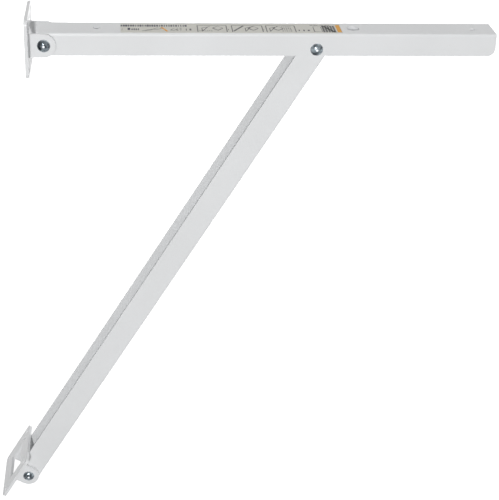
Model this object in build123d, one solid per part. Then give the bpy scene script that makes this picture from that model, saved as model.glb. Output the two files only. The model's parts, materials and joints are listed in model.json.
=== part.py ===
"""Folding shelf bracket: a folded channel arm and a folded channel strut between two stamped wall plates.

Frame: origin at the centre of the upper wall plate's back face. +X points away from the wall, +Z is up and Y runs
along the wall. The arm is level and the strut leans from the arm down towards the wall. All sizes are millimetres.
"""

import math
import os

from build123d import *

# Sheet
PLATE_GAUGE = 3.2
CHANNEL_GAUGE = 1.5
BEND_INNER_RADIUS = 1.0
SIDE_CLEARANCE = 0.35

# Arm: a channel folded from one strip, open downwards
ARM_WIDTH = 37.0
ARM_HEIGHT = 23.2
ARM_HEEL = 7.5
ARM_REACH = 459.5
ARM_TOP_TO_PIVOT = 12.0
ARM_TIP_CORNER_RADIUS = 8.0
ARM_HEEL_CORNER_RADIUS = 6.0

# Strut: a narrower channel that swings inside the arm, open towards the wall
STRUT_DEPTH = 26.5
STRUT_PIVOT_SPACING = 613.9
STRUT_PIVOT_TO_WEB = 12.2
STRUT_END_OVERHANG = 10.0
STRUT_WEB_CORNER_RADIUS = 8.0
STRUT_ANGLE_BELOW_ARM = 59.3
STRUT_PIVOT_REACH = 274.0
ARM_TOP_TO_STRUT_PIVOT = 16.4

# Wall plates: a stamped plate with two ears bent forwards out of a window
PLATE_WIDTH = 74.0
PLATE_HEIGHT = 59.0
PLATE_CORNER_RADIUS = 5.0
PLATE_TO_PIVOT = 14.6
EAR_RADIUS = 12.0
WINDOW_END_GAP = 0.5
BEND_SLOT_WIDTH = 1.6
BEND_SLOT_UPPER_LENGTH = 9.5
BEND_SLOT_LOWER_LENGTH = 2.0
SCREW_HOLE_DIAMETER = 5.2
SCREW_HOLE_INSET = 7.0

# Pivot rivets: one through each ear and flange, with a domed head outside and an upset tail inside
RIVET_SHANK_DIAMETER = 6.3
RIVET_HOLE_CLEARANCE = 0.05
RIVET_HEAD_DIAMETER = 13.0
RIVET_HEAD_HEIGHT = 3.2
RIVET_CROWN_DIAMETER = 4.4
RIVET_DOME_STEPS = 2
RIVET_TAIL_DIAMETER = 9.4
RIVET_TAIL_THICKNESS = 1.4
RIVET_TAIL_CLEARANCE = 0.1

# Shelf-fixing holes along the middle of the arm's web: the rear one is placed from the arm's pivot, the middle
# one from the strut's pivot and the tip one from the arm's tip
REAR_HOLE_REACH = 52.0
REAR_HOLE_DIAMETER = 7.0
MIDDLE_HOLE_PAST_STRUT_PIVOT = 39.0
MIDDLE_HOLE_DIAMETER = 13.0
TIP_HOLE_INSET = 21.5
TIP_HOLE_DIAMETER = 5.8
TIP_DIMPLE_DIAMETER = 12.4
TIP_DIMPLE_DEPTH = 0.8

# Paper instruction label stuck on the arm's web
LABEL_START = 76.0
LABEL_LENGTH = 224.5
LABEL_WIDTH = 28.5
LABEL_OFFSET = -1.25
LABEL_THICKNESS = 0.15
LABEL_CORNER_RADIUS = 1.0

# How near an edge's middle lies to a corner that it is picked by, and how far fillets that would meet in the middle
# of a side stop short of each other
PICK_TOLERANCE = 0.01
FULL_ROUND_RELIEF = 0.1

# Places worked out from the sizes above
BEND_OUTER_RADIUS = BEND_INNER_RADIUS + CHANNEL_GAUGE
STRUT_WIDTH = ARM_WIDTH - 2 * (CHANNEL_GAUGE + SIDE_CLEARANCE)
MIDDLE_HOLE_REACH = STRUT_PIVOT_REACH + MIDDLE_HOLE_PAST_STRUT_PIVOT
TIP_HOLE_REACH = ARM_REACH - TIP_HOLE_INSET
STRUT_PIVOT_TO_EDGE = STRUT_DEPTH - STRUT_PIVOT_TO_WEB
RIVET_HOLE_DIAMETER = RIVET_SHANK_DIAMETER + 2 * RIVET_HOLE_CLEARANCE
ARM_PIVOT = Vector(PLATE_GAUGE + PLATE_TO_PIVOT, 0, 0)
ARM_TOP = ARM_PIVOT.Z + ARM_TOP_TO_PIVOT
STRUT_PIVOT = Vector(ARM_PIVOT.X + STRUT_PIVOT_REACH, 0, ARM_TOP - ARM_TOP_TO_STRUT_PIVOT)
STRUT_FRAME = Location(tuple(STRUT_PIVOT), (0, 180 - STRUT_ANGLE_BELOW_ARM, 0))


def channel_profile(width, depth):
    """Section of a folded channel: web along the top at z = 0, flanges hanging down, bends rounded."""
    outer = Pos(0, -depth / 2) * Rectangle(width, depth)
    outer = fillet(outer.vertices().group_by(Axis.Y)[-1], BEND_OUTER_RADIUS)
    hollow = Pos(0, -CHANNEL_GAUGE - depth / 2) * Rectangle(width - 2 * CHANNEL_GAUGE, depth)
    hollow = fillet(hollow.vertices().group_by(Axis.Y)[-1], BEND_INNER_RADIUS)
    return outer - hollow


def folded_channel(width, depth, start, end):
    """Channel running along X from start to end."""
    section = Plane.YZ.offset(start) * channel_profile(width, depth)
    return extrude(section, end - start)


def side_punch(start, end, top, bottom, width):
    """Block seen from the side as a rectangle in X and Z, reaching right across a channel in Y."""
    return Pos((start + end) / 2, 0, (top + bottom) / 2) * Box(end - start, width, top - bottom)


def corner_edges(block, at_x, at_z):
    """The edge of a side punch that runs along Y at one of its corners."""
    return [edge for edge in block.edges().filter_by(Axis.Y)
            if math.hypot(edge.center().X - at_x, edge.center().Z - at_z) < PICK_TOLERANCE]


def cross_hole(at_x, at_z, width):
    """Rivet hole running along Y through both flanges of a channel or both ears of a plate."""
    return Pos(at_x, 0, at_z) * Rot(90, 0, 0) * Cylinder(RIVET_HOLE_DIAMETER / 2, width)


def build_arm():
    """Arm in its own frame: pivot at the origin, web above it, tip towards +X."""
    start, end = -ARM_HEEL, ARM_REACH
    top, bottom = ARM_TOP_TO_PIVOT, ARM_TOP_TO_PIVOT - ARM_HEIGHT
    arm = Pos(0, 0, top) * folded_channel(ARM_WIDTH, ARM_HEIGHT, start, end)
    outline = side_punch(start, end, top, bottom, 2 * ARM_WIDTH)
    outline = fillet(corner_edges(outline, end, bottom), ARM_TIP_CORNER_RADIUS)
    outline = fillet(corner_edges(outline, start, bottom), ARM_HEEL_CORNER_RADIUS)
    arm = arm & outline
    arm -= cross_hole(0, 0, 2 * ARM_WIDTH)
    arm -= cross_hole(STRUT_PIVOT_REACH, top - ARM_TOP_TO_STRUT_PIVOT, 2 * ARM_WIDTH)
    for reach, diameter in ((REAR_HOLE_REACH, REAR_HOLE_DIAMETER), (MIDDLE_HOLE_REACH, MIDDLE_HOLE_DIAMETER)):
        arm -= Pos(reach, 0, top) * Cylinder(diameter / 2, 4 * CHANNEL_GAUGE)
    return press_tip_hole(arm, top)


def press_tip_hole(arm, top):
    """The tip hole: the web is pressed down in a shallow cone round it, so a screw head seats below the shelf."""
    rim = TIP_DIMPLE_DIAMETER / 2
    hole = TIP_HOLE_DIAMETER / 2
    under = Pos(TIP_HOLE_REACH, 0, top - CHANNEL_GAUGE - TIP_DIMPLE_DEPTH / 2)
    arm += under * Cone(hole + CHANNEL_GAUGE, rim, TIP_DIMPLE_DEPTH)
    sink = Pos(TIP_HOLE_REACH, 0, top - TIP_DIMPLE_DEPTH / 2)
    arm -= sink * Cone(hole, rim, TIP_DIMPLE_DEPTH)
    arm -= Pos(TIP_HOLE_REACH, 0, top) * Cylinder(hole, 4 * (CHANNEL_GAUGE + TIP_DIMPLE_DEPTH))
    return arm


def build_strut():
    """Strut in its own frame: upper pivot at the origin, lower pivot out along +X, web on the +Z side."""
    start, end = -STRUT_END_OVERHANG, STRUT_PIVOT_SPACING + STRUT_END_OVERHANG
    top, bottom = STRUT_PIVOT_TO_WEB, -STRUT_PIVOT_TO_EDGE
    strut = Pos(0, 0, top) * folded_channel(STRUT_WIDTH, STRUT_DEPTH, start, end)
    outline = side_punch(start, end, top, bottom, 2 * STRUT_WIDTH)
    for x in (start, end):
        outline = fillet(corner_edges(outline, x, top), STRUT_WEB_CORNER_RADIUS)
        outline = fillet(corner_edges(outline, x, bottom), STRUT_END_OVERHANG - FULL_ROUND_RELIEF)
    strut = strut & outline
    for x in (0, STRUT_PIVOT_SPACING):
        strut -= cross_hole(x, 0, 2 * STRUT_WIDTH)
    return strut


def ear_profile(inner_face):
    """Plan view of one ear in X and Y: a quarter bend out of the plate and a straight leg to the ear's tip."""
    outer_face = inner_face + PLATE_GAUGE
    bend_centre = (PLATE_GAUGE + BEND_INNER_RADIUS, outer_face + BEND_INNER_RADIUS)
    bend_outer = BEND_INNER_RADIUS + PLATE_GAUGE
    quarter = Pos(bend_centre[0] - bend_outer / 2, bend_centre[1] - bend_outer / 2)
    bend = Pos(*bend_centre) * (Circle(bend_outer) - Circle(BEND_INNER_RADIUS))
    bend = bend & (quarter * Rectangle(bend_outer, bend_outer))
    leg_end = PLATE_GAUGE + PLATE_TO_PIVOT + EAR_RADIUS
    leg_length = leg_end - bend_centre[0]
    leg = Pos(bend_centre[0] + leg_length / 2, inner_face + PLATE_GAUGE / 2) * Rectangle(leg_length, PLATE_GAUGE)
    return bend + leg


def build_plate(channel_width):
    """Wall plate in its own frame: back face at x = 0, ears reaching forwards on both sides of the channel."""
    inner_face = channel_width / 2 + SIDE_CLEARANCE
    bend_line = inner_face + PLATE_GAUGE + BEND_INNER_RADIUS
    pivot_x = PLATE_GAUGE + PLATE_TO_PIVOT
    plate = Pos(PLATE_GAUGE / 2, 0, 0) * Box(PLATE_GAUGE, PLATE_WIDTH, PLATE_HEIGHT)
    plate = fillet(plate.edges().filter_by(Axis.X), PLATE_CORNER_RADIUS)
    window_height = 2 * (EAR_RADIUS + WINDOW_END_GAP)
    plate -= Pos(PLATE_GAUGE / 2, 0, 0) * Box(2 * PLATE_GAUGE, 2 * bend_line, window_height)
    for side in (-1, 1):
        plate -= bend_slot(side * (bend_line - BEND_SLOT_WIDTH / 2))
        for z in (-PLATE_HEIGHT / 2 + SCREW_HOLE_INSET, PLATE_HEIGHT / 2 - SCREW_HOLE_INSET):
            screw = Pos(0, side * (PLATE_WIDTH / 2 - SCREW_HOLE_INSET), z) * Rot(0, 90, 0)
            plate -= screw * Cylinder(SCREW_HOLE_DIAMETER / 2, 4 * PLATE_GAUGE)
    ear = extrude(Plane.XY.offset(-EAR_RADIUS) * ear_profile(inner_face), 2 * EAR_RADIUS)
    ear_outline = side_punch(0, pivot_x, EAR_RADIUS, -EAR_RADIUS, 4 * PLATE_WIDTH)
    ear_outline += Pos(pivot_x, 0, 0) * Rot(90, 0, 0) * Cylinder(EAR_RADIUS, 4 * PLATE_WIDTH)
    ear = ear & ear_outline
    plate = plate + ear + mirror(ear, Plane.XZ)
    return plate - cross_hole(pivot_x, 0, 2 * PLATE_WIDTH)


def bend_slot(centre_y):
    """Relief slot along a bend line, running past the ear at both ends of the window."""
    top = EAR_RADIUS + BEND_SLOT_UPPER_LENGTH
    bottom = -EAR_RADIUS - BEND_SLOT_LOWER_LENGTH
    slot = Pos(PLATE_GAUGE / 2, centre_y, (top + bottom) / 2) * Box(2 * PLATE_GAUGE, BEND_SLOT_WIDTH, top - bottom)
    return fillet(slot.edges().filter_by(Axis.X), (BEND_SLOT_WIDTH - FULL_ROUND_RELIEF) / 2)


def dome_points(crown_radius, base_radius, height):
    """Points down a dome from the edge of its flat crown to its base, as (radius, height above the base)."""
    centre_drop = (base_radius ** 2 - crown_radius ** 2 - height ** 2) / (2 * height)
    sphere = math.hypot(base_radius, centre_drop)
    crown_angle = math.asin(crown_radius / sphere)
    base_angle = math.asin(base_radius / sphere)
    angles = [crown_angle + (base_angle - crown_angle) * step / RIVET_DOME_STEPS
              for step in range(RIVET_DOME_STEPS + 1)]
    return [(sphere * math.sin(angle), sphere * math.cos(angle) - centre_drop) for angle in angles]


def build_rivet(grip):
    """Rivet with its head seated at y = 0 and its shank along +Y through the grip to the upset tail."""
    shank = RIVET_SHANK_DIAMETER / 2
    tail = RIVET_TAIL_DIAMETER / 2
    tail_start = grip + RIVET_TAIL_CLEARANCE
    tail_end = tail_start + RIVET_TAIL_THICKNESS
    dome = dome_points(RIVET_CROWN_DIAMETER / 2, RIVET_HEAD_DIAMETER / 2, RIVET_HEAD_HEIGHT)
    outline = [(0, -RIVET_HEAD_HEIGHT)]
    outline += [(radius, -above) for radius, above in dome]
    outline += [(shank, 0), (shank, tail_start), (tail, tail_start), (tail, tail_end), (0, tail_end)]
    return revolve(make_face(Polyline(*outline, close=True)), Axis.Y)


def rivet_pair(pivot, outer_width, grip):
    """The two rivets of one pivot: one on each side of the bracket, heads outside."""
    rivet = build_rivet(grip)
    near = Pos(pivot.X, -outer_width / 2, pivot.Z) * rivet
    return near, mirror(near, Plane.XZ)


def build_label():
    """Label lying on the arm's web, in the bracket's frame."""
    centre_x = ARM_PIVOT.X + LABEL_START + LABEL_LENGTH / 2
    sheet = RectangleRounded(LABEL_LENGTH, LABEL_WIDTH, LABEL_CORNER_RADIUS)
    return Pos(centre_x, LABEL_OFFSET, ARM_TOP) * extrude(sheet, LABEL_THICKNESS)


def main():
    plate_pivot = Pos(-PLATE_GAUGE - PLATE_TO_PIVOT, 0, 0)
    lower_pivot = (STRUT_FRAME * Pos(STRUT_PIVOT_SPACING, 0, 0)).position
    lower_plate_frame = Location(tuple(lower_pivot), (0, 90 - STRUT_ANGLE_BELOW_ARM, 0)) * plate_pivot
    ear_grip = PLATE_GAUGE + SIDE_CLEARANCE + CHANNEL_GAUGE
    flange_grip = CHANNEL_GAUGE + SIDE_CLEARANCE + CHANNEL_GAUGE
    ear_reach = 2 * (SIDE_CLEARANCE + PLATE_GAUGE)

    nodes = {
        "upper_wall_plate": build_plate(ARM_WIDTH),
        "arm_channel": Pos(*ARM_PIVOT) * build_arm(),
        "strut_channel": STRUT_FRAME * build_strut(),
        "lower_wall_plate": lower_plate_frame * build_plate(STRUT_WIDTH),
        "instruction_label": build_label(),
    }
    pivots = {
        "upper_pivot_rivet": (ARM_PIVOT, ARM_WIDTH + ear_reach, ear_grip),
        "strut_pivot_rivet": (STRUT_PIVOT, ARM_WIDTH, flange_grip),
        "lower_pivot_rivet": (lower_pivot, STRUT_WIDTH + ear_reach, ear_grip),
    }
    for name, (pivot, outer_width, grip) in pivots.items():
        near, far = rivet_pair(pivot, outer_width, grip)
        nodes[name + "_near"] = near
        nodes[name + "_far"] = far

    os.makedirs("parts", exist_ok=True)
    for name, shape in nodes.items():
        export_step(shape, os.path.join("parts", name + ".step"))


main()
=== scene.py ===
"""Dresses the folding shelf bracket: coated sheet steel, polished rivets and the printed label on the arm."""

import json
import math

import bmesh
import bpy
from bpy.props import FloatProperty, FloatVectorProperty, IntProperty, PointerProperty
from mathutils import Matrix, Vector


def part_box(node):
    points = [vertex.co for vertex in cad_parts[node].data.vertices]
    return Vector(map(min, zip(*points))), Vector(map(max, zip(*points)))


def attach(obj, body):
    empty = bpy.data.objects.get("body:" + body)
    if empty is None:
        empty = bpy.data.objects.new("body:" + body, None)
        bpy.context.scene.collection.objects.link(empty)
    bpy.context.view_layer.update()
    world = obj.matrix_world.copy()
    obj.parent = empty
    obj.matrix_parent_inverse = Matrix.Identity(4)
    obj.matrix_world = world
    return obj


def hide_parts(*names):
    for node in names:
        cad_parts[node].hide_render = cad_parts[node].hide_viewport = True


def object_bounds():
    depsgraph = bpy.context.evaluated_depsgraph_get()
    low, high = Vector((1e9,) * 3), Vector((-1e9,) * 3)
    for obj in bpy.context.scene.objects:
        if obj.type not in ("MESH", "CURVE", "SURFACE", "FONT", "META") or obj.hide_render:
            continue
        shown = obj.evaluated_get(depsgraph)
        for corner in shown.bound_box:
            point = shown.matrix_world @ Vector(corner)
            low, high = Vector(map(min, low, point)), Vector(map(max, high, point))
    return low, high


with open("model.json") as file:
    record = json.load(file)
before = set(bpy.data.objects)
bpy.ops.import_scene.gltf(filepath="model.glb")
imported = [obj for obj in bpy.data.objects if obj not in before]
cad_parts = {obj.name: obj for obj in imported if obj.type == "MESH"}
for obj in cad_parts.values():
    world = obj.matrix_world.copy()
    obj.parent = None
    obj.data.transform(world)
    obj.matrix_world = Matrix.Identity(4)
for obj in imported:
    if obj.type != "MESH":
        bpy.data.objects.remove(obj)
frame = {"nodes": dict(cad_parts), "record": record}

bl_info = {
    "name": "Folding Shelf Bracket",
    "version": (1, 0, 0),
    "blender": (4, 5, 0),
    "location": "View3D > Sidebar > Bracket",
    "description": "Coated channels and wall plates, polished rivets, printed label and a plain studio",
    "category": "Object",
}

MM = 0.001
SHEET_NODES = ("upper_wall_plate", "arm_channel", "strut_channel", "lower_wall_plate")
LABEL_NODE = "instruction_label"
PIVOTS = ("upper_pivot", "strut_pivot", "lower_pivot")
CAD_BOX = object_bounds()
NODE_BODY = {node: body for body, nodes in frame["record"]["behaviour"]["bodies"].items() for node in nodes}
RIVET_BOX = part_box("upper_pivot_rivet_near")
AXIS_DISTANCE = "axis_distance"

JOIN_DISTANCE = 0.002 * MM
FLAT_ANGLE = math.radians(0.5)
CUT_EDGE_ANGLE = math.radians(40)
RIVET_SHARP_ANGLE = math.radians(35)
DOME_POINTS = 14
TURNING_RADIUS = 1.0 * MM

# Wear: how much rougher worn finish is. Painted highlights on a rivet, standing in for reflected light: where the
# bright crown spot and the lighter rim band lie, as shares of a radius
WORN_ROUGHER = 0.18
WORN_PLATING = (0.32, 0.37, 0.40, 1.0)
CROWN_FULL_AT = 0.5
RIM_STARTS_AT, RIM_PAINTED_SHEEN = 0.84, 0.30


# Settings that a user would change

class CoatSettings(bpy.types.PropertyGroup):
    colour: FloatVectorProperty(
        name="Coat Colour", description="Colour of the powder coat", subtype="COLOR", size=4, min=0, max=1,
        default=(0.79, 0.80, 0.81, 1.0))
    shade: FloatVectorProperty(
        name="Thin Coat Colour", description="Colour where the coat runs thin or is rubbed", subtype="COLOR",
        size=4, min=0, max=1, default=(0.70, 0.71, 0.71, 1.0))
    roughness: FloatProperty(
        name="Coat Roughness", description="Roughness of clean coat", default=0.32, min=0, max=1)
    peel: FloatProperty(
        name="Orange Peel Depth", description="Height of the coat's fine waves", default=0.04 * MM, unit="LENGTH")
    edge: FloatProperty(
        name="Edge Rounding", description="Radius that the coat gives each cut edge", default=0.3 * MM, unit="LENGTH")


class RivetSettings(bpy.types.PropertyGroup):
    head_diameter: FloatProperty(
        name="Head Diameter", description="Diameter of the domed head", unit="LENGTH",
        default=RIVET_BOX[1].x - RIVET_BOX[0].x)
    head_height: FloatProperty(
        name="Head Height", description="Height of the dome above its seat", default=3.2 * MM, unit="LENGTH")
    shank_diameter: FloatProperty(
        name="Shank Diameter", description="Diameter of the shank", default=6.3 * MM, unit="LENGTH")
    tail_diameter: FloatProperty(
        name="Tail Diameter", description="Diameter of the upset tail", default=9.4 * MM, unit="LENGTH")
    tail_thickness: FloatProperty(
        name="Tail Thickness", description="Thickness of the upset tail", default=1.4 * MM, unit="LENGTH")
    segments: IntProperty(
        name="Segments", description="Faces round each rivet", default=64, min=12, max=256)
    # Painted dark reflection: the plating colour is kept near black to stand in for the dark room that the polished
    # heads would mirror
    colour: FloatVectorProperty(
        name="Plating Colour", description="Colour of the polished plating", subtype="COLOR", size=4, min=0, max=1,
        default=(0.035, 0.042, 0.05, 1.0))
    # Painted highlight: a light colour laid into the plating on the dome's crown and, weaker, along its rim, where a
    # polished head would show reflected light; the crown diameter below sizes the painted spot
    painted_highlight: FloatVectorProperty(
        name="Burnished Colour", description="Colour where the setting tool has burnished the plating",
        subtype="COLOR", size=4, min=0, max=1, default=(0.80, 0.83, 0.86, 1.0))
    crown_highlight_diameter: FloatProperty(
        name="Crown Diameter", description="Diameter of the burnished spot on top of the dome", unit="LENGTH",
        default=3.0 * MM)
    roughness: FloatProperty(
        name="Plating Roughness", description="Roughness of the polished plating", default=0.14, min=0, max=1)


class LabelSettings(bpy.types.PropertyGroup):
    paper: FloatVectorProperty(
        name="Paper Colour", description="Colour of the label's paper", subtype="COLOR", size=4, min=0, max=1,
        default=(0.68, 0.67, 0.62, 1.0))
    ink: FloatVectorProperty(
        name="Ink Colour", description="Colour of the dark print", subtype="COLOR", size=4, min=0, max=1,
        default=(0.035, 0.035, 0.06, 1.0))
    grey: FloatVectorProperty(
        name="Grey Ink Colour", description="Colour of the fine drawings", subtype="COLOR", size=4, min=0, max=1,
        default=(0.13, 0.13, 0.13, 1.0))
    accent: FloatVectorProperty(
        name="Accent Colour", description="Colour of the orange print", subtype="COLOR", size=4, min=0, max=1,
        default=(0.78, 0.38, 0.06, 1.0))
    stroke: FloatProperty(
        name="Stroke Width", description="Width of a drawn line", default=0.9 * MM, unit="LENGTH")
    thickness: FloatProperty(
        name="Ink Thickness", description="How far the print stands on the paper", default=0.02 * MM, unit="LENGTH")


class StageSettings(bpy.types.PropertyGroup):
    yaw: FloatProperty(
        name="Camera Yaw", description="Camera's turn towards the arm's tip", subtype="ANGLE",
        default=math.radians(6.267))
    pitch: FloatProperty(
        name="Camera Pitch", description="How far the camera looks down", subtype="ANGLE",
        default=math.radians(27.967))
    roll: FloatProperty(
        name="Camera Roll", description="Camera's tilt about its own axis", subtype="ANGLE",
        default=math.radians(2.185))
    distance: FloatProperty(
        name="Camera Distance", description="From the camera to the point it looks at", default=1.429, unit="LENGTH")
    aim: FloatVectorProperty(
        name="Camera Aim", description="Point looked at, from the middle of the bracket", subtype="TRANSLATION",
        default=(0.0209, 0.0051, 0.0138))
    lens: FloatProperty(
        name="Focal Length", description="Focal length in millimetres", default=92.42, min=1)
    ambient: FloatProperty(
        name="Ambient Light", description="Strength of the even light from all round", default=0.28, min=0)
    floor: FloatVectorProperty(
        name="Floor Colour", description="Colour of the floor", subtype="COLOR", size=4, min=0, max=1,
        default=(0.60, 0.60, 0.60, 1.0))
    floor_lift: FloatProperty(
        name="Floor Lift", description="Brightness added to the floor where it is looked at", default=0.85, min=0)


# Node trees

def add_node(tree, kind, **values):
    """Node of that kind; keywords set its properties, and a dict under inputs sets its sockets."""
    node = tree.nodes.new(kind)
    for socket, value in values.pop("inputs", {}).items():
        node.inputs[socket].default_value = value
    for name, value in values.items():
        setattr(node, name, value)
    return node


def feed(tree, source, node, socket):
    """Links an output socket to a node's input, or sets the input where the source is a plain value."""
    if isinstance(source, bpy.types.NodeSocket):
        tree.links.new(source, node.inputs[socket])
    else:
        node.inputs[socket].default_value = source


def math_node(tree, operation, *sources):
    """Output of one Math node."""
    node = add_node(tree, "ShaderNodeMath", operation=operation)
    for index, source in enumerate(sources):
        feed(tree, source, node, index)
    return node.outputs[0]


def new_group(name, kind, inputs, outputs):
    """Empty node group with its named sockets, and its input and output nodes."""
    tree = bpy.data.node_groups.new(name, kind)
    for label, socket, default in inputs:
        made = tree.interface.new_socket(label, in_out="INPUT", socket_type=socket)
        if default is not None:
            made.default_value = default
    for label, socket in outputs:
        tree.interface.new_socket(label, in_out="OUTPUT", socket_type=socket)
    return tree, tree.nodes.new("NodeGroupInput"), tree.nodes.new("NodeGroupOutput")


def set_inputs(modifier, **values):
    """Sets a Geometry Nodes modifier's inputs by their sockets' identifiers, before it is first evaluated."""
    sockets = {item.name: item.identifier for item in modifier.node_group.interface.items_tree
               if item.item_type == "SOCKET" and item.in_out == "INPUT"}
    for name, value in values.items():
        modifier[sockets[name.replace("_", " ").title()]] = value


# Shader groups shared by the materials

def surface_grain_group():
    """Fine waves over a finish, at a size given in waves per metre, and a slow drift across it."""
    tree, given, result = new_group(
        "surface_grain", "ShaderNodeTree",
        [("Waves", "NodeSocketFloat", 900.0), ("Drift", "NodeSocketFloat", 14.0)],
        [("Height", "NodeSocketFloat"), ("Drift", "NodeSocketFloat")])
    place = add_node(tree, "ShaderNodeTexCoord")
    fine = add_node(tree, "ShaderNodeTexNoise", inputs={"Detail": 2.0, "Roughness": 0.45})
    broad = add_node(tree, "ShaderNodeTexNoise", inputs={"Detail": 3.0, "Roughness": 0.5})
    for noise, scale in ((fine, "Waves"), (broad, "Drift")):
        tree.links.new(place.outputs["Object"], noise.inputs["Vector"])
        tree.links.new(given.outputs[scale], noise.inputs["Scale"])
    tree.links.new(fine.outputs["Fac"], result.inputs["Height"])
    tree.links.new(broad.outputs["Fac"], result.inputs["Drift"])
    return tree


def handling_marks_group():
    """Sparse thin rub marks and tiny specks, as a mask."""
    tree, given, result = new_group(
        "handling_marks", "ShaderNodeTree",
        [("Scale", "NodeSocketFloat", 40.0), ("Amount", "NodeSocketFloat", 0.5)],
        [("Mask", "NodeSocketFloat")])
    place = add_node(tree, "ShaderNodeTexCoord")
    stretch = add_node(tree, "ShaderNodeMapping", inputs={"Rotation": (0.2, 0.5, 0.3), "Scale": (1.0, 3.0, 9.0)})
    tree.links.new(place.outputs["Object"], stretch.inputs["Vector"])
    rubs = add_node(tree, "ShaderNodeTexNoise", inputs={"Detail": 5.0, "Roughness": 0.7})
    tree.links.new(stretch.outputs["Vector"], rubs.inputs["Vector"])
    tree.links.new(given.outputs["Scale"], rubs.inputs["Scale"])
    rub = add_node(tree, "ShaderNodeMapRange", inputs={"From Min": 0.60, "From Max": 0.74})
    tree.links.new(rubs.outputs["Fac"], rub.inputs["Value"])
    specks = add_node(tree, "ShaderNodeTexVoronoi")
    tree.links.new(place.outputs["Object"], specks.inputs["Vector"])
    speck_scale = math_node(tree, "MULTIPLY", given.outputs["Scale"], 4.0)
    tree.links.new(speck_scale, specks.inputs["Scale"])
    speck = add_node(tree, "ShaderNodeMapRange", inputs={"From Min": 0.09, "From Max": 0.05})
    tree.links.new(specks.outputs["Distance"], speck.inputs["Value"])
    both = math_node(tree, "MAXIMUM", rub.outputs["Result"], speck.outputs["Result"])
    tree.links.new(math_node(tree, "MULTIPLY", both, given.outputs["Amount"]), result.inputs["Mask"])
    return tree


def shared_group(name, make):
    """The shader group of that name, made when it is first asked for."""
    return bpy.data.node_groups.get(name) or make()


def finish_material(name, colour, worn, roughness, waves, depth, marks, marks_scale, metallic=0.0,
                    drift_scale=14.0, drift_amount=0.25):
    """Principled material whose colour, roughness and relief come from the two shared groups."""
    material = bpy.data.materials.new(name)
    material.use_nodes = True
    tree = material.node_tree
    shader = tree.nodes["Principled BSDF"]
    shader.inputs["Metallic"].default_value = metallic
    grain = add_node(tree, "ShaderNodeGroup", node_tree=shared_group("surface_grain", surface_grain_group))
    grain.inputs["Waves"].default_value = waves
    grain.inputs["Drift"].default_value = drift_scale
    rubbed = add_node(tree, "ShaderNodeGroup", node_tree=shared_group("handling_marks", handling_marks_group))
    rubbed.inputs["Scale"].default_value = marks_scale
    rubbed.inputs["Amount"].default_value = marks
    drift = add_node(tree, "ShaderNodeMapRange",
                     inputs={"From Min": 0.35, "From Max": 0.65, "To Min": 0.0, "To Max": drift_amount})
    tree.links.new(grain.outputs["Drift"], drift.inputs["Value"])
    wear = math_node(tree, "MAXIMUM", drift.outputs["Result"], rubbed.outputs["Mask"])
    tint = add_node(tree, "ShaderNodeMix", data_type="RGBA")
    tint.inputs[6].default_value = colour
    tint.inputs[7].default_value = worn
    tree.links.new(wear, tint.inputs[0])
    tree.links.new(tint.outputs[2], shader.inputs["Base Color"])
    rough = add_node(tree, "ShaderNodeMapRange",
                     inputs={"To Min": roughness, "To Max": min(1.0, roughness + WORN_ROUGHER)})
    tree.links.new(wear, rough.inputs["Value"])
    tree.links.new(rough.outputs["Result"], shader.inputs["Roughness"])
    bump = add_node(tree, "ShaderNodeBump", inputs={"Strength": 1.0, "Distance": depth})
    tree.links.new(grain.outputs["Height"], bump.inputs["Height"])
    tree.links.new(bump.outputs["Normal"], shader.inputs["Normal"])
    return material


def coat_material():
    settings = bpy.context.scene.bracket_coat
    return finish_material("white_powder_coat", settings.colour, settings.shade, settings.roughness,
                           waves=900.0, depth=settings.peel, marks=0.35, marks_scale=22.0)


def plating_material():
    """Dark polished plating, painted dark for the dark room it would mirror, with a painted highlight spot on the
    dome's crown and a lighter painted reflection along its rim.
    """
    settings = bpy.context.scene.bracket_rivets
    material = finish_material("polished_zinc_plating", settings.colour, WORN_PLATING, settings.roughness,
                               waves=1500.0, depth=0.004 * MM, marks=0.5, marks_scale=120.0, metallic=1.0,
                               drift_scale=190.0, drift_amount=0.9)
    tree = material.node_tree
    shader = tree.nodes["Principled BSDF"]
    plain = shader.inputs["Base Color"].links[0].from_socket
    # Painted highlights mixed into the base colour: a bright spot on the crown and a lighter painted reflection along
    # the rim
    turned = add_node(tree, "ShaderNodeAttribute", attribute_name=AXIS_DISTANCE)
    crown, rim = settings.crown_highlight_diameter / 2, settings.head_diameter / 2
    bands = []
    for edge, full, amount in ((crown, CROWN_FULL_AT * crown, 1.0), (RIM_STARTS_AT * rim, rim, RIM_PAINTED_SHEEN)):
        band = add_node(tree, "ShaderNodeMapRange", inputs={"From Min": edge, "From Max": full, "To Max": amount})
        tree.links.new(turned.outputs["Fac"], band.inputs["Value"])
        bands.append(band.outputs["Result"])
    highlight_mix = add_node(tree, "ShaderNodeMix", data_type="RGBA")
    tree.links.new(math_node(tree, "MAXIMUM", *bands), highlight_mix.inputs[0])
    tree.links.new(plain, highlight_mix.inputs[6])
    highlight_mix.inputs[7].default_value = settings.painted_highlight
    tree.links.new(highlight_mix.outputs[2], shader.inputs["Base Color"])
    return material


def print_material(name, colour):
    """Paper or dried ink: matt, with the paper's fibres showing through."""
    paler = tuple(min(1.0, channel * 1.12 + 0.02) for channel in colour[:3]) + (1.0,)
    return finish_material(name, colour, paler, 0.62, waves=1400.0, depth=0.02 * MM, marks=0.4, marks_scale=60.0)


# Mesh helpers

def finish_piece(piece, body, slot, *nodes):
    """The piece rides on its body and stands for its CAD nodes, which are hidden. The slot is not used."""
    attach(piece, body)
    if nodes:
        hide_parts(*nodes)


def linked_object(name, data):
    """New object in the scene."""
    made = bpy.data.objects.new(name, data)
    bpy.context.scene.collection.objects.link(made)
    return made


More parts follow.
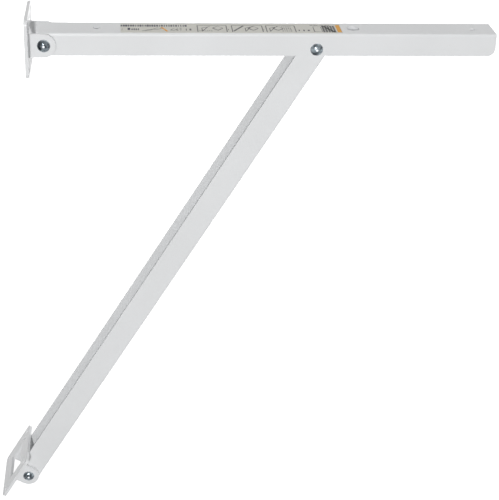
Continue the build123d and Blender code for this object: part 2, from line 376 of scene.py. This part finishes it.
def plain_mesh(source, name):
    """Object whose plain mesh is the source's evaluated result; the source and its modifiers are removed."""
    graph = bpy.context.evaluated_depsgraph_get()
    mesh = bpy.data.meshes.new_from_object(source.evaluated_get(graph))
    bpy.data.objects.remove(source)
    mesh.name = name
    return linked_object(name, mesh)


# Pieces

def rounded_sheet(node):
    """Copy of a sheet-metal node with its loose triangles joined and each cut edge rounded as the coat does."""
    mesh = frame["nodes"][node].data.copy()
    build = bmesh.new()
    build.from_mesh(mesh)
    bmesh.ops.remove_doubles(build, verts=build.verts, dist=JOIN_DISTANCE)
    bmesh.ops.dissolve_limit(build, angle_limit=FLAT_ANGLE, verts=build.verts, edges=build.edges)
    build.to_mesh(mesh)
    build.free()
    mesh.materials.clear()
    mesh.polygons.foreach_set("use_smooth", [True] * len(mesh.polygons))
    source = linked_object(node + "_source", mesh)
    bevel = source.modifiers.new("rounded_edges", "BEVEL")
    bevel.width = bpy.context.scene.bracket_coat.edge
    bevel.segments = 2
    bevel.limit_method = "ANGLE"
    bevel.angle_limit = CUT_EDGE_ANGLE
    bevel.harden_normals = True
    level = source.modifiers.new("level_faces", "WEIGHTED_NORMAL")
    level.weight = 100
    return plain_mesh(source, node + "_coated")


class BRACKET_OT_coated_sheets(bpy.types.Operator):
    """Coated steel: both wall plates, the arm and the strut, with softened cut edges"""

    bl_idname = "bracket.coated_sheets"
    bl_label = "Coated Plates and Channels"

    def execute(self, context):
        coat = coat_material()
        for node in SHEET_NODES:
            piece = rounded_sheet(node)
            piece.data.materials.append(coat)
            finish_piece(piece, NODE_BODY[node], "white_coated_steel", node)
        return {"FINISHED"}


def turned_profile(tree, points, dome_radius, dome_sweep, dome_lift):
    """Curve of a rivet's half section: an arc for the dome and a straight line between each two points after it."""
    join = add_node(tree, "GeometryNodeJoinGeometry")
    arc = add_node(tree, "GeometryNodeCurveArc", inputs={"Resolution": DOME_POINTS})
    feed(tree, dome_radius, arc, "Radius")
    feed(tree, math_node(tree, "SUBTRACT", math.pi / 2, dome_sweep), arc, "Start Angle")
    feed(tree, dome_sweep, arc, "Sweep Angle")
    lift = add_node(tree, "ShaderNodeCombineXYZ")
    feed(tree, dome_lift, lift, "Y")
    place = add_node(tree, "GeometryNodeTransform")
    tree.links.new(arc.outputs["Curve"], place.inputs["Geometry"])
    tree.links.new(lift.outputs[0], place.inputs["Translation"])
    tree.links.new(place.outputs[0], join.inputs[0])
    for pair in zip(points, points[1:]):
        line = add_node(tree, "GeometryNodeCurvePrimitiveLine")
        for socket, (across, along) in zip(("Start", "End"), pair):
            corner = add_node(tree, "ShaderNodeCombineXYZ")
            feed(tree, across, corner, "X")
            feed(tree, along, corner, "Y")
            tree.links.new(corner.outputs[0], line.inputs[socket])
        tree.links.new(line.outputs["Curve"], join.inputs[0])
    settle = add_node(tree, "GeometryNodeTransform", inputs={"Scale": (1.0, -1.0, 1.0)})
    shift = add_node(tree, "ShaderNodeCombineXYZ", inputs={"X": -TURNING_RADIUS})
    tree.links.new(shift.outputs[0], settle.inputs["Translation"])
    tree.links.new(join.outputs[0], settle.inputs["Geometry"])
    return settle.outputs[0]


def rivet_pair_tree():
    """Two rivets on one pivot line: each is its half section turned round the axis, head outwards."""
    tree, given, result = new_group(
        "rivet_pair", "GeometryNodeTree",
        [("Pivot", "NodeSocketVector", None), ("Head Diameter", "NodeSocketFloat", 0.013),
         ("Head Height", "NodeSocketFloat", 0.0032), ("Shank Diameter", "NodeSocketFloat", 0.0063),
         ("Tail Diameter", "NodeSocketFloat", 0.0094), ("Tail Thickness", "NodeSocketFloat", 0.0014),
         ("Length", "NodeSocketFloat", 0.009), ("Width Over Heads", "NodeSocketFloat", 0.049),
         ("Segments", "NodeSocketInt", 64), ("Material", "NodeSocketMaterial", None)],
        [("Geometry", "NodeSocketGeometry")])
    size = given.outputs
    head = math_node(tree, "MULTIPLY", size["Head Diameter"], 0.5)
    shank = math_node(tree, "MULTIPLY", size["Shank Diameter"], 0.5)
    tail = math_node(tree, "MULTIPLY", size["Tail Diameter"], 0.5)
    height = size["Head Height"]
    squares = math_node(tree, "ADD", math_node(tree, "POWER", head, 2.0), math_node(tree, "POWER", height, 2.0))
    sphere = math_node(tree, "DIVIDE", squares, math_node(tree, "MULTIPLY", height, 2.0))
    sweep = math_node(tree, "ARCSINE", math_node(tree, "DIVIDE", head, sphere))
    lift = math_node(tree, "SUBTRACT", height, sphere)
    tail_end = math_node(tree, "SUBTRACT", height, size["Length"])
    tail_start = math_node(tree, "ADD", tail_end, size["Tail Thickness"])
    section = [(head, 0.0), (shank, 0.0), (shank, tail_start), (tail, tail_start), (tail, tail_end), (0.0, tail_end)]
    profile = turned_profile(tree, section, sphere, sweep, lift)
    circle = add_node(tree, "GeometryNodeCurvePrimitiveCircle", inputs={"Radius": TURNING_RADIUS})
    tree.links.new(size["Segments"], circle.inputs["Resolution"])
    turned = add_node(tree, "GeometryNodeCurveToMesh")
    tree.links.new(circle.outputs["Curve"], turned.inputs["Curve"])
    tree.links.new(profile, turned.inputs["Profile Curve"])
    closed = add_node(tree, "GeometryNodeMergeByDistance", inputs={"Distance": JOIN_DISTANCE})
    tree.links.new(turned.outputs["Mesh"], closed.inputs["Geometry"])
    across = add_node(tree, "ShaderNodeVectorMath", operation="MULTIPLY", inputs={1: (1.0, 1.0, 0.0)})
    tree.links.new(add_node(tree, "GeometryNodeInputPosition").outputs[0], across.inputs[0])
    reach = add_node(tree, "ShaderNodeVectorMath", operation="LENGTH")
    tree.links.new(across.outputs[0], reach.inputs[0])
    rivet = add_node(tree, "GeometryNodeStoreNamedAttribute", inputs={"Name": AXIS_DISTANCE})
    tree.links.new(closed.outputs[0], rivet.inputs["Geometry"])
    tree.links.new(reach.outputs["Value"], rivet.inputs["Value"])

    both = add_node(tree, "GeometryNodeJoinGeometry")
    half_width = math_node(tree, "MULTIPLY", size["Width Over Heads"], 0.5)
    seat = math_node(tree, "SUBTRACT", half_width, height)
    for side in (-1.0, 1.0):
        offset = add_node(tree, "ShaderNodeCombineXYZ")
        feed(tree, math_node(tree, "MULTIPLY", seat, side), offset, "Y")
        spot = add_node(tree, "ShaderNodeVectorMath", operation="ADD")
        tree.links.new(size["Pivot"], spot.inputs[0])
        tree.links.new(offset.outputs[0], spot.inputs[1])
        point = add_node(tree, "GeometryNodePoints", inputs={"Count": 1})
        tree.links.new(spot.outputs[0], point.inputs["Position"])
        place = add_node(tree, "GeometryNodeInstanceOnPoints", inputs={"Rotation": (-side * math.pi / 2, 0, 0)})
        tree.links.new(point.outputs[0], place.inputs["Points"])
        tree.links.new(rivet.outputs[0], place.inputs["Instance"])
        tree.links.new(place.outputs[0], both.inputs[0])
    real = add_node(tree, "GeometryNodeRealizeInstances")
    tree.links.new(both.outputs[0], real.inputs[0])
    paint = add_node(tree, "GeometryNodeSetMaterial")
    tree.links.new(real.outputs[0], paint.inputs["Geometry"])
    tree.links.new(size["Material"], paint.inputs["Material"])
    tree.links.new(paint.outputs[0], result.inputs["Geometry"])
    return tree


def outward(mesh):
    """Turns every face of a closed mesh outwards and leaves only its real corners sharp."""
    build = bmesh.new()
    build.from_mesh(mesh)
    bmesh.ops.recalc_face_normals(build, faces=build.faces)
    build.to_mesh(mesh)
    build.free()
    mesh.polygons.foreach_set("use_smooth", [True] * len(mesh.polygons))
    mesh.set_sharp_from_angle(angle=RIVET_SHARP_ANGLE)


class BRACKET_OT_rivets(bpy.types.Operator):
    """Polished rivets: a pair at each of the three pivots"""

    bl_idname = "bracket.rivets"
    bl_label = "Pivot Rivets"

    def execute(self, context):
        settings = context.scene.bracket_rivets
        tree = rivet_pair_tree()
        plating = plating_material()
        for pivot in PIVOTS:
            near, far = pivot + "_rivet_near", pivot + "_rivet_far"
            low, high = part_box(near)
            source = linked_object(pivot + "_source", bpy.data.meshes.new(pivot))
            modifier = source.modifiers.new("rivets", "NODES")
            modifier.node_group = tree
            set_inputs(
                modifier, pivot=((low.x + high.x) / 2, 0.0, (low.z + high.z) / 2),
                head_diameter=settings.head_diameter, head_height=settings.head_height,
                shank_diameter=settings.shank_diameter, tail_diameter=settings.tail_diameter,
                tail_thickness=settings.tail_thickness, length=high.y - low.y,
                width_over_heads=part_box(far)[1].y - low.y, segments=settings.segments, material=plating)
            piece = plain_mesh(source, pivot + "_rivets")
            outward(piece.data)
            finish_piece(piece, NODE_BODY[near], "bright_zinc_rivet", near, far)
        return {"FINISHED"}


# Print on the label. Places are in millimetres from the label's corner nearest the wall and the near side.

DIVIDERS = (77.5, 107.0, 112.5, 143.5, 147.5, 177.0)
PRINT_BASE, PRINT_TOP = 2.5, 23.0
SHELF_DRAWINGS = ((98.0, 14.8), (134.0, 14.8), (159.5, 14.8))
SHELF_HALF_LENGTH, SHELF_HALF_DEPTH, SHELF_EDGE = 5.2, 6.0, 1.6
WALL_BAR = ((113.6, 5.0), (124.5, 22.0))
BRACKET_DRAWINGS = (82.0, 126.0, 151.0)
SWASH = ((21.5, 5.0), (26.0, 7.5), (31.5, 10.5), (36.0, 9.0), (41.5, 12.5), (36.5, 14.5), (30.0, 7.5), (24.0, 6.0))
LEAVES = ((50.0, 8.0), (53.0, 12.0), (56.5, 9.0), (53.5, 6.5), (50.0, 8.0))
PENCIL_STROKE = ((41.0, 17.0), (47.0, 3.6))
HATCH, HATCH_BARS = (206.0, 217.0), 5
BRACKET_FOOT, BRACKET_TOP, BRACKET_TIP, BRACE_TOP = 4.5, 15.0, (8.5, 19.5), (6.0, 18.0)
BOX_DRAWING, BOX_BASE, BOX_TOP = (196.0, 204.0), 4.0, 20.0
ACCENT_BLOCK, ACCENT_TOP = (219.6, 223.9), PRINT_TOP + 2.5
BAR_STROKES = 2.4
ROW_SPACING = 2.4

# Rows of small print: start, length, height of the lowest row, rows, dash height, dash width, pitch, ink
PRINT_ROWS = (
    (1.0, 68.5, 21.4, 1, 6.0, 2.2, 2.4, "ink"),
    (8.4, 3.0, 11.0, 1, 8.0, 2.6, 2.9, "ink"),
    (11.6, 10.0, 10.0, 1, 5.2, 1.7, 2.1, "ink"),
    (1.6, 2.0, 8.0, 2, 1.4, 1.2, 2.0, "grey"),
    (57.0, 8.0, 7.0, 3, 1.4, 2.2, 3.4, "grey"),
    (66.0, 10.4, 9.5, 1, 6.4, 2.0, 4.1, "grey"),
    (79.5, 14.0, 5.0, 2, 1.0, 1.4, 2.0, "grey"),
    (108.8, 2.4, 10.0, 1, 4.0, 1.2, 2.4, "grey"),
    (144.6, 2.4, 10.0, 1, 4.0, 1.2, 2.4, "grey"),
    (164.0, 12.5, 6.0, 4, 1.8, 1.8, 2.1, "grey"),
    (180.6, 16.0, 8.0, 1, 5.0, 2.2, 4.9, "ink"),
    (194.0, 21.5, 24.6, 1, 1.8, 1.5, 1.6, "ink"),
)


def label_corner():
    """Corner that the print's places are measured from, on top of the paper."""
    low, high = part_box(LABEL_NODE)
    return Vector((low.x, low.y, high.z))


def stroke_lines():
    """Polylines of the fine drawings: panel frames, shelf boards, brackets and loose shapes."""
    lines = [((place, PRINT_BASE), (place, PRINT_TOP)) for place in DIVIDERS]
    lines += [((start, PRINT_TOP), (end, PRINT_TOP)) for start, end in zip(DIVIDERS[::2], DIVIDERS[1::2])]
    board = ((-SHELF_HALF_LENGTH, 0), (0, SHELF_HALF_DEPTH), (SHELF_HALF_LENGTH, 0), (0, -SHELF_HALF_DEPTH))
    front = (board[0], board[3], board[2])
    for across, up in SHELF_DRAWINGS:
        lines.append(tuple((across + x, up + y) for x, y in board + board[:1]))
        lines.append(tuple((across + x, up + y - SHELF_EDGE) for x, y in front))
    for start in BRACKET_DRAWINGS:
        lines.append(((start, BRACKET_FOOT), (start, BRACKET_TOP), (start + BRACKET_TIP[0], BRACKET_TIP[1])))
        lines.append(((start, BRACKET_FOOT), (start + BRACE_TOP[0], BRACE_TOP[1])))
    start, end = BOX_DRAWING
    lines.append(((start, BOX_BASE), (start, BOX_TOP), (end, BOX_TOP), (end, BOX_BASE), (start, BOX_BASE)))
    return lines + [SWASH, LEAVES]


def bold_lines():
    """Thick grey bars: the wall bar and the hatched block with its slanting stroke."""
    start, end = HATCH
    step = (end - start) / (HATCH_BARS - 1)
    bars = [((start + step * index, PRINT_BASE), (start + step * index, PRINT_TOP)) for index in range(HATCH_BARS)]
    return [WALL_BAR, ((start, PRINT_TOP), (end, PRINT_BASE))] + bars


def line_mesh(name, lines):
    """Mesh of edges only, one chain for each polyline, on top of the label."""
    corner = label_corner()
    points, edges = [], []
    for line in lines:
        edges += [(len(points) + index, len(points) + index + 1) for index in range(len(line) - 1)]
        points += [corner + Vector((across * MM, up * MM, 0)) for across, up in line]
    mesh = bpy.data.meshes.new(name)
    mesh.from_pydata(points, edges, [])
    return mesh


def ink_lines_tree():
    """Ribbon of ink along each chain of edges."""
    tree, given, result = new_group(
        "ink_lines", "GeometryNodeTree",
        [("Geometry", "NodeSocketGeometry", None), ("Line Width", "NodeSocketFloat", 0.0004),
         ("Ink Thickness", "NodeSocketFloat", 0.00002), ("Material", "NodeSocketMaterial", None)],
        [("Geometry", "NodeSocketGeometry")])
    curves = add_node(tree, "GeometryNodeMeshToCurve")
    tree.links.new(given.outputs["Geometry"], curves.inputs[0])
    upright = add_node(tree, "GeometryNodeSetCurveNormal", mode="Z_UP")
    tree.links.new(curves.outputs[0], upright.inputs[0])
    section = add_node(tree, "GeometryNodeCurvePrimitiveQuadrilateral")
    tree.links.new(given.outputs["Line Width"], section.inputs["Width"])
    tree.links.new(math_node(tree, "MULTIPLY", given.outputs["Ink Thickness"], 2.0), section.inputs["Height"])
    ribbon = add_node(tree, "GeometryNodeCurveToMesh", inputs={"Fill Caps": True})
    tree.links.new(upright.outputs[0], ribbon.inputs["Curve"])
    tree.links.new(section.outputs[0], ribbon.inputs["Profile Curve"])
    real = add_node(tree, "GeometryNodeRealizeInstances")
    tree.links.new(ribbon.outputs[0], real.inputs[0])
    paint = add_node(tree, "GeometryNodeSetMaterial")
    tree.links.new(real.outputs[0], paint.inputs["Geometry"])
    tree.links.new(given.outputs["Material"], paint.inputs["Material"])
    tree.links.new(paint.outputs[0], result.inputs["Geometry"])
    return tree


def print_rows_tree():
    """Rows of short dashes of random length, which stand for lines of small print."""
    tree, given, result = new_group(
        "print_rows", "GeometryNodeTree",
        [("Corner", "NodeSocketVector", None), ("Row Length", "NodeSocketFloat", 0.06),
         ("Dash Height", "NodeSocketFloat", 0.001), ("Dash Width", "NodeSocketFloat", 0.0015),
         ("Pitch", "NodeSocketFloat", 0.002),
         ("Rows", "NodeSocketInt", 1), ("Row Spacing", "NodeSocketFloat", 0.002),
         ("Ink Thickness", "NodeSocketFloat", 0.00002), ("Seed", "NodeSocketInt", 4),
         ("Material", "NodeSocketMaterial", None)],
        [("Geometry", "NodeSocketGeometry")])
    size = given.outputs
    count = math_node(tree, "FLOOR", math_node(tree, "DIVIDE", size["Row Length"], size["Pitch"]))
    along = add_node(tree, "ShaderNodeCombineXYZ")
    tree.links.new(size["Pitch"], along.inputs["X"])
    up = add_node(tree, "ShaderNodeCombineXYZ")
    tree.links.new(size["Row Spacing"], up.inputs["Y"])
    row = add_node(tree, "GeometryNodeMeshLine")
    tree.links.new(count, row.inputs["Count"])
    tree.links.new(size["Corner"], row.inputs["Start Location"])
    tree.links.new(along.outputs[0], row.inputs["Offset"])
    stack = add_node(tree, "GeometryNodeMeshLine")
    tree.links.new(size["Rows"], stack.inputs["Count"])
    tree.links.new(up.outputs[0], stack.inputs["Offset"])
    rows = add_node(tree, "GeometryNodeInstanceOnPoints")
    tree.links.new(stack.outputs[0], rows.inputs["Points"])
    tree.links.new(row.outputs[0], rows.inputs["Instance"])
    points = add_node(tree, "GeometryNodeRealizeInstances")
    tree.links.new(rows.outputs[0], points.inputs[0])
    block = add_node(tree, "ShaderNodeCombineXYZ")
    tree.links.new(size["Dash Width"], block.inputs["X"])
    tree.links.new(size["Dash Height"], block.inputs["Y"])
    tree.links.new(math_node(tree, "MULTIPLY", size["Ink Thickness"], 2.0), block.inputs["Z"])
    dash = add_node(tree, "GeometryNodeMeshCube")
    tree.links.new(block.outputs[0], dash.inputs["Size"])
    stretch = add_node(tree, "FunctionNodeRandomValue", data_type="FLOAT_VECTOR")
    stretch.inputs[0].default_value = (0.35, 0.75, 1.0)
    stretch.inputs[1].default_value = (1.0, 1.0, 1.0)
    tree.links.new(size["Seed"], stretch.inputs["Seed"])
    dashes = add_node(tree, "GeometryNodeInstanceOnPoints")
    tree.links.new(points.outputs[0], dashes.inputs["Points"])
    tree.links.new(dash.outputs["Mesh"], dashes.inputs["Instance"])
    tree.links.new(stretch.outputs[0], dashes.inputs["Scale"])
    real = add_node(tree, "GeometryNodeRealizeInstances")
    tree.links.new(dashes.outputs[0], real.inputs[0])
    paint = add_node(tree, "GeometryNodeSetMaterial")
    tree.links.new(real.outputs[0], paint.inputs["Geometry"])
    tree.links.new(size["Material"], paint.inputs["Material"])
    tree.links.new(paint.outputs[0], result.inputs["Geometry"])
    return tree


def inked(name, mesh, tree, **inputs):
    """Makes a piece of print with a Geometry Nodes tree; it rides with the label."""
    source = linked_object(name + "_source", mesh)
    modifier = source.modifiers.new("print", "NODES")
    modifier.node_group = tree
    set_inputs(modifier, **inputs)
    finish_piece(plain_mesh(source, name), NODE_BODY[LABEL_NODE], "printed_paper")


class BRACKET_OT_label(bpy.types.Operator):
    """Paper label on the arm, with generic mounting pictures, rows of small print and an orange block"""

    bl_idname = "bracket.label"
    bl_label = "Instruction Label"

    def execute(self, context):
        settings = context.scene.bracket_label
        node = frame["nodes"][LABEL_NODE]
        node.material_slots[0].material = print_material("label_paper", settings.paper)
        inks = {name: print_material(name + "_print", colour) for name, colour in
                (("ink", settings.ink), ("grey", settings.grey), ("accent", settings.accent))}
        lines, rows = ink_lines_tree(), print_rows_tree()
        thickness, stroke = settings.thickness, settings.stroke
        inked("label_drawings", line_mesh("drawings", stroke_lines()), lines,
              line_width=stroke, ink_thickness=thickness, material=inks["grey"])
        inked("label_bars", line_mesh("bars", bold_lines()), lines,
              line_width=BAR_STROKES * stroke, ink_thickness=thickness, material=inks["grey"])
        inked("label_pencil", line_mesh("pencil", [PENCIL_STROKE]), lines,
              line_width=BAR_STROKES * stroke, ink_thickness=thickness, material=inks["accent"])
        start, end = ACCENT_BLOCK
        block = [(((start + end) / 2, PRINT_BASE), ((start + end) / 2, ACCENT_TOP))]
        inked("label_block", line_mesh("block", block), lines,
              line_width=(end - start) * MM, ink_thickness=thickness, material=inks["accent"])
        corner = label_corner()
        for index, (across, length, up, count, height, width, pitch, name) in enumerate(PRINT_ROWS):
            inked("label_rows_%d" % index, bpy.data.meshes.new("rows"), rows,
                  corner=corner + Vector((across * MM, up * MM, 0)), row_length=length * MM,
                  dash_height=height * MM, dash_width=width * MM, pitch=pitch * MM, rows=count,
                  row_spacing=ROW_SPACING * height * MM, ink_thickness=thickness, seed=index, material=inks[name])
        return {"FINISHED"}


# Stage

FLOOR_REACH = 6.0
SENSOR_WIDTH = 36.0
LAMPS = (
    # name, direction from the bracket's middle (x, y, z), distance, diameter, power in watts
    ("key", (-0.14, -0.93, 0.34), 3.5, 0.24, 65.0),
    ("top_fill", (0.05, 0.10, 0.97), 2.2, 0.8, 8.0),
    ("right_fill", (0.98, 0.10, 0.12), 2.2, 0.4, 11.0),
    ("back_fill", (0.05, 0.99, 0.02), 2.4, 0.8, 19.0),
)


def aim_matrix(position, target):
    """Matrix of a lamp at a position that shines at a target."""
    turn = (target - position).to_track_quat("-Z", "Y").to_matrix().to_4x4()
    return Matrix.Translation(position) @ turn


def seen_ray(tree):
    """1 for rays that are looked along or mirrored or passed through, 0 for rays that only light things."""
    path = add_node(tree, "ShaderNodeLightPath")
    either = math_node(tree, "MAXIMUM", path.outputs["Is Camera Ray"], path.outputs["Is Glossy Ray"])
    return math_node(tree, "MAXIMUM", either, path.outputs["Is Transmission Ray"])


def white_world(ambient):
    """World that lights evenly at the given strength and is looked at as plain white."""
    world = bpy.data.worlds.new("white_studio")
    world.use_nodes = True
    tree = world.node_tree
    shade = tree.nodes["Background"]
    shade.inputs["Color"].default_value = (1.0, 1.0, 1.0, 1.0)
    strength = add_node(tree, "ShaderNodeMapRange", inputs={"To Min": ambient, "To Max": 1.0})
    tree.links.new(seen_ray(tree), strength.inputs["Value"])
    tree.links.new(strength.outputs["Result"], shade.inputs["Strength"])
    bpy.context.scene.world = world


def floor_material(settings):
    """Pale floor, lifted to white only where it is looked at, so that it keeps the bracket's shadow."""
    material = bpy.data.materials.new("pale_floor")
    material.use_nodes = True
    tree = material.node_tree
    shader = tree.nodes["Principled BSDF"]
    shader.inputs["Base Color"].default_value = settings.floor
    shader.inputs["Roughness"].default_value = 0.9
    shader.inputs["Specular IOR Level"].default_value = 0.0
    glow = add_node(tree, "ShaderNodeEmission")
    tree.links.new(math_node(tree, "MULTIPLY", seen_ray(tree), settings.floor_lift), glow.inputs["Strength"])
    both = add_node(tree, "ShaderNodeAddShader")
    tree.links.new(shader.outputs[0], both.inputs[0])
    tree.links.new(glow.outputs[0], both.inputs[1])
    tree.links.new(both.outputs[0], tree.nodes["Material Output"].inputs["Surface"])
    return material


class BRACKET_OT_stage(bpy.types.Operator):
    """Stage: floor, even white surroundings, soft lamps and the camera"""

    bl_idname = "bracket.stage"
    bl_label = "Floor, Lamps and Camera"

    def execute(self, context):
        settings = context.scene.bracket_stage
        low, high = CAD_BOX
        middle = (low + high) / 2
        white_world(settings.ambient)

        mesh = bpy.data.meshes.new("floor")
        corners = [middle + Vector((x * FLOOR_REACH, y * FLOOR_REACH, low.z - middle.z))
                   for x, y in ((-1, -1), (1, -1), (1, 1), (-1, 1))]
        mesh.from_pydata(corners, [], [(0, 1, 2, 3)])
        floor = linked_object("floor", mesh)
        mesh.materials.append(floor_material(settings))

        for name, direction, distance, size, power in LAMPS:
            light = bpy.data.lights.new(name, "AREA")
            light.shape = "DISK"
            light.size = size
            light.energy = power
            lamp = linked_object(name + "_lamp", light)
            lamp.matrix_world = aim_matrix(middle + Vector(direction).normalized() * distance, middle)
            lamp.visible_camera = False

        camera = bpy.data.cameras.new("camera")
        camera.sensor_fit = "HORIZONTAL"
        camera.sensor_width = SENSOR_WIDTH
        camera.lens = settings.lens
        view = linked_object("camera", camera)
        forward = Vector((math.sin(settings.yaw) * math.cos(settings.pitch),
                          math.cos(settings.yaw) * math.cos(settings.pitch), -math.sin(settings.pitch)))
        level = Vector((math.cos(settings.yaw), -math.sin(settings.yaw), 0.0))
        raised = level.cross(forward)
        right = level * math.cos(settings.roll) + raised * math.sin(settings.roll)
        up = raised * math.cos(settings.roll) - level * math.sin(settings.roll)
        turn = Matrix((right, up, -forward)).transposed().to_4x4()
        position = middle + Vector(settings.aim) - forward * settings.distance
        view.matrix_world = Matrix.Translation(position) @ turn
        context.scene.camera = view
        context.scene.view_settings.view_transform = "Standard"
        return {"FINISHED"}


class BRACKET_PT_panel(bpy.types.Panel):
    """Lists the bracket's pieces and their settings"""

    bl_label = "Folding Shelf Bracket"
    bl_idname = "BRACKET_PT_panel"
    bl_space_type = "VIEW_3D"
    bl_region_type = "UI"
    bl_category = "Bracket"

    def draw(self, context):
        for operator in OPERATORS:
            self.layout.operator(operator.bl_idname)
        for name, group in SETTINGS.items():
            box = self.layout.box()
            for field in group.__annotations__:
                box.prop(getattr(context.scene, name), field)


OPERATORS = (BRACKET_OT_stage, BRACKET_OT_coated_sheets, BRACKET_OT_rivets, BRACKET_OT_label)
SETTINGS = {
    "bracket_coat": CoatSettings,
    "bracket_rivets": RivetSettings,
    "bracket_label": LabelSettings,
    "bracket_stage": StageSettings,
}
CLASSES = tuple(SETTINGS.values()) + OPERATORS + (BRACKET_PT_panel,)


def register():
    for cls in CLASSES:
        bpy.utils.register_class(cls)
    for name, group in SETTINGS.items():
        setattr(bpy.types.Scene, name, PointerProperty(type=group))


def unregister():
    for name in SETTINGS:
        delattr(bpy.types.Scene, name)
    for cls in reversed(CLASSES):
        bpy.utils.unregister_class(cls)


def main():
    register()
    bpy.ops.bracket.stage()
    bpy.ops.bracket.coated_sheets()
    bpy.ops.bracket.rivets()
    bpy.ops.bracket.label()


if __name__ == "__main__":
    main()
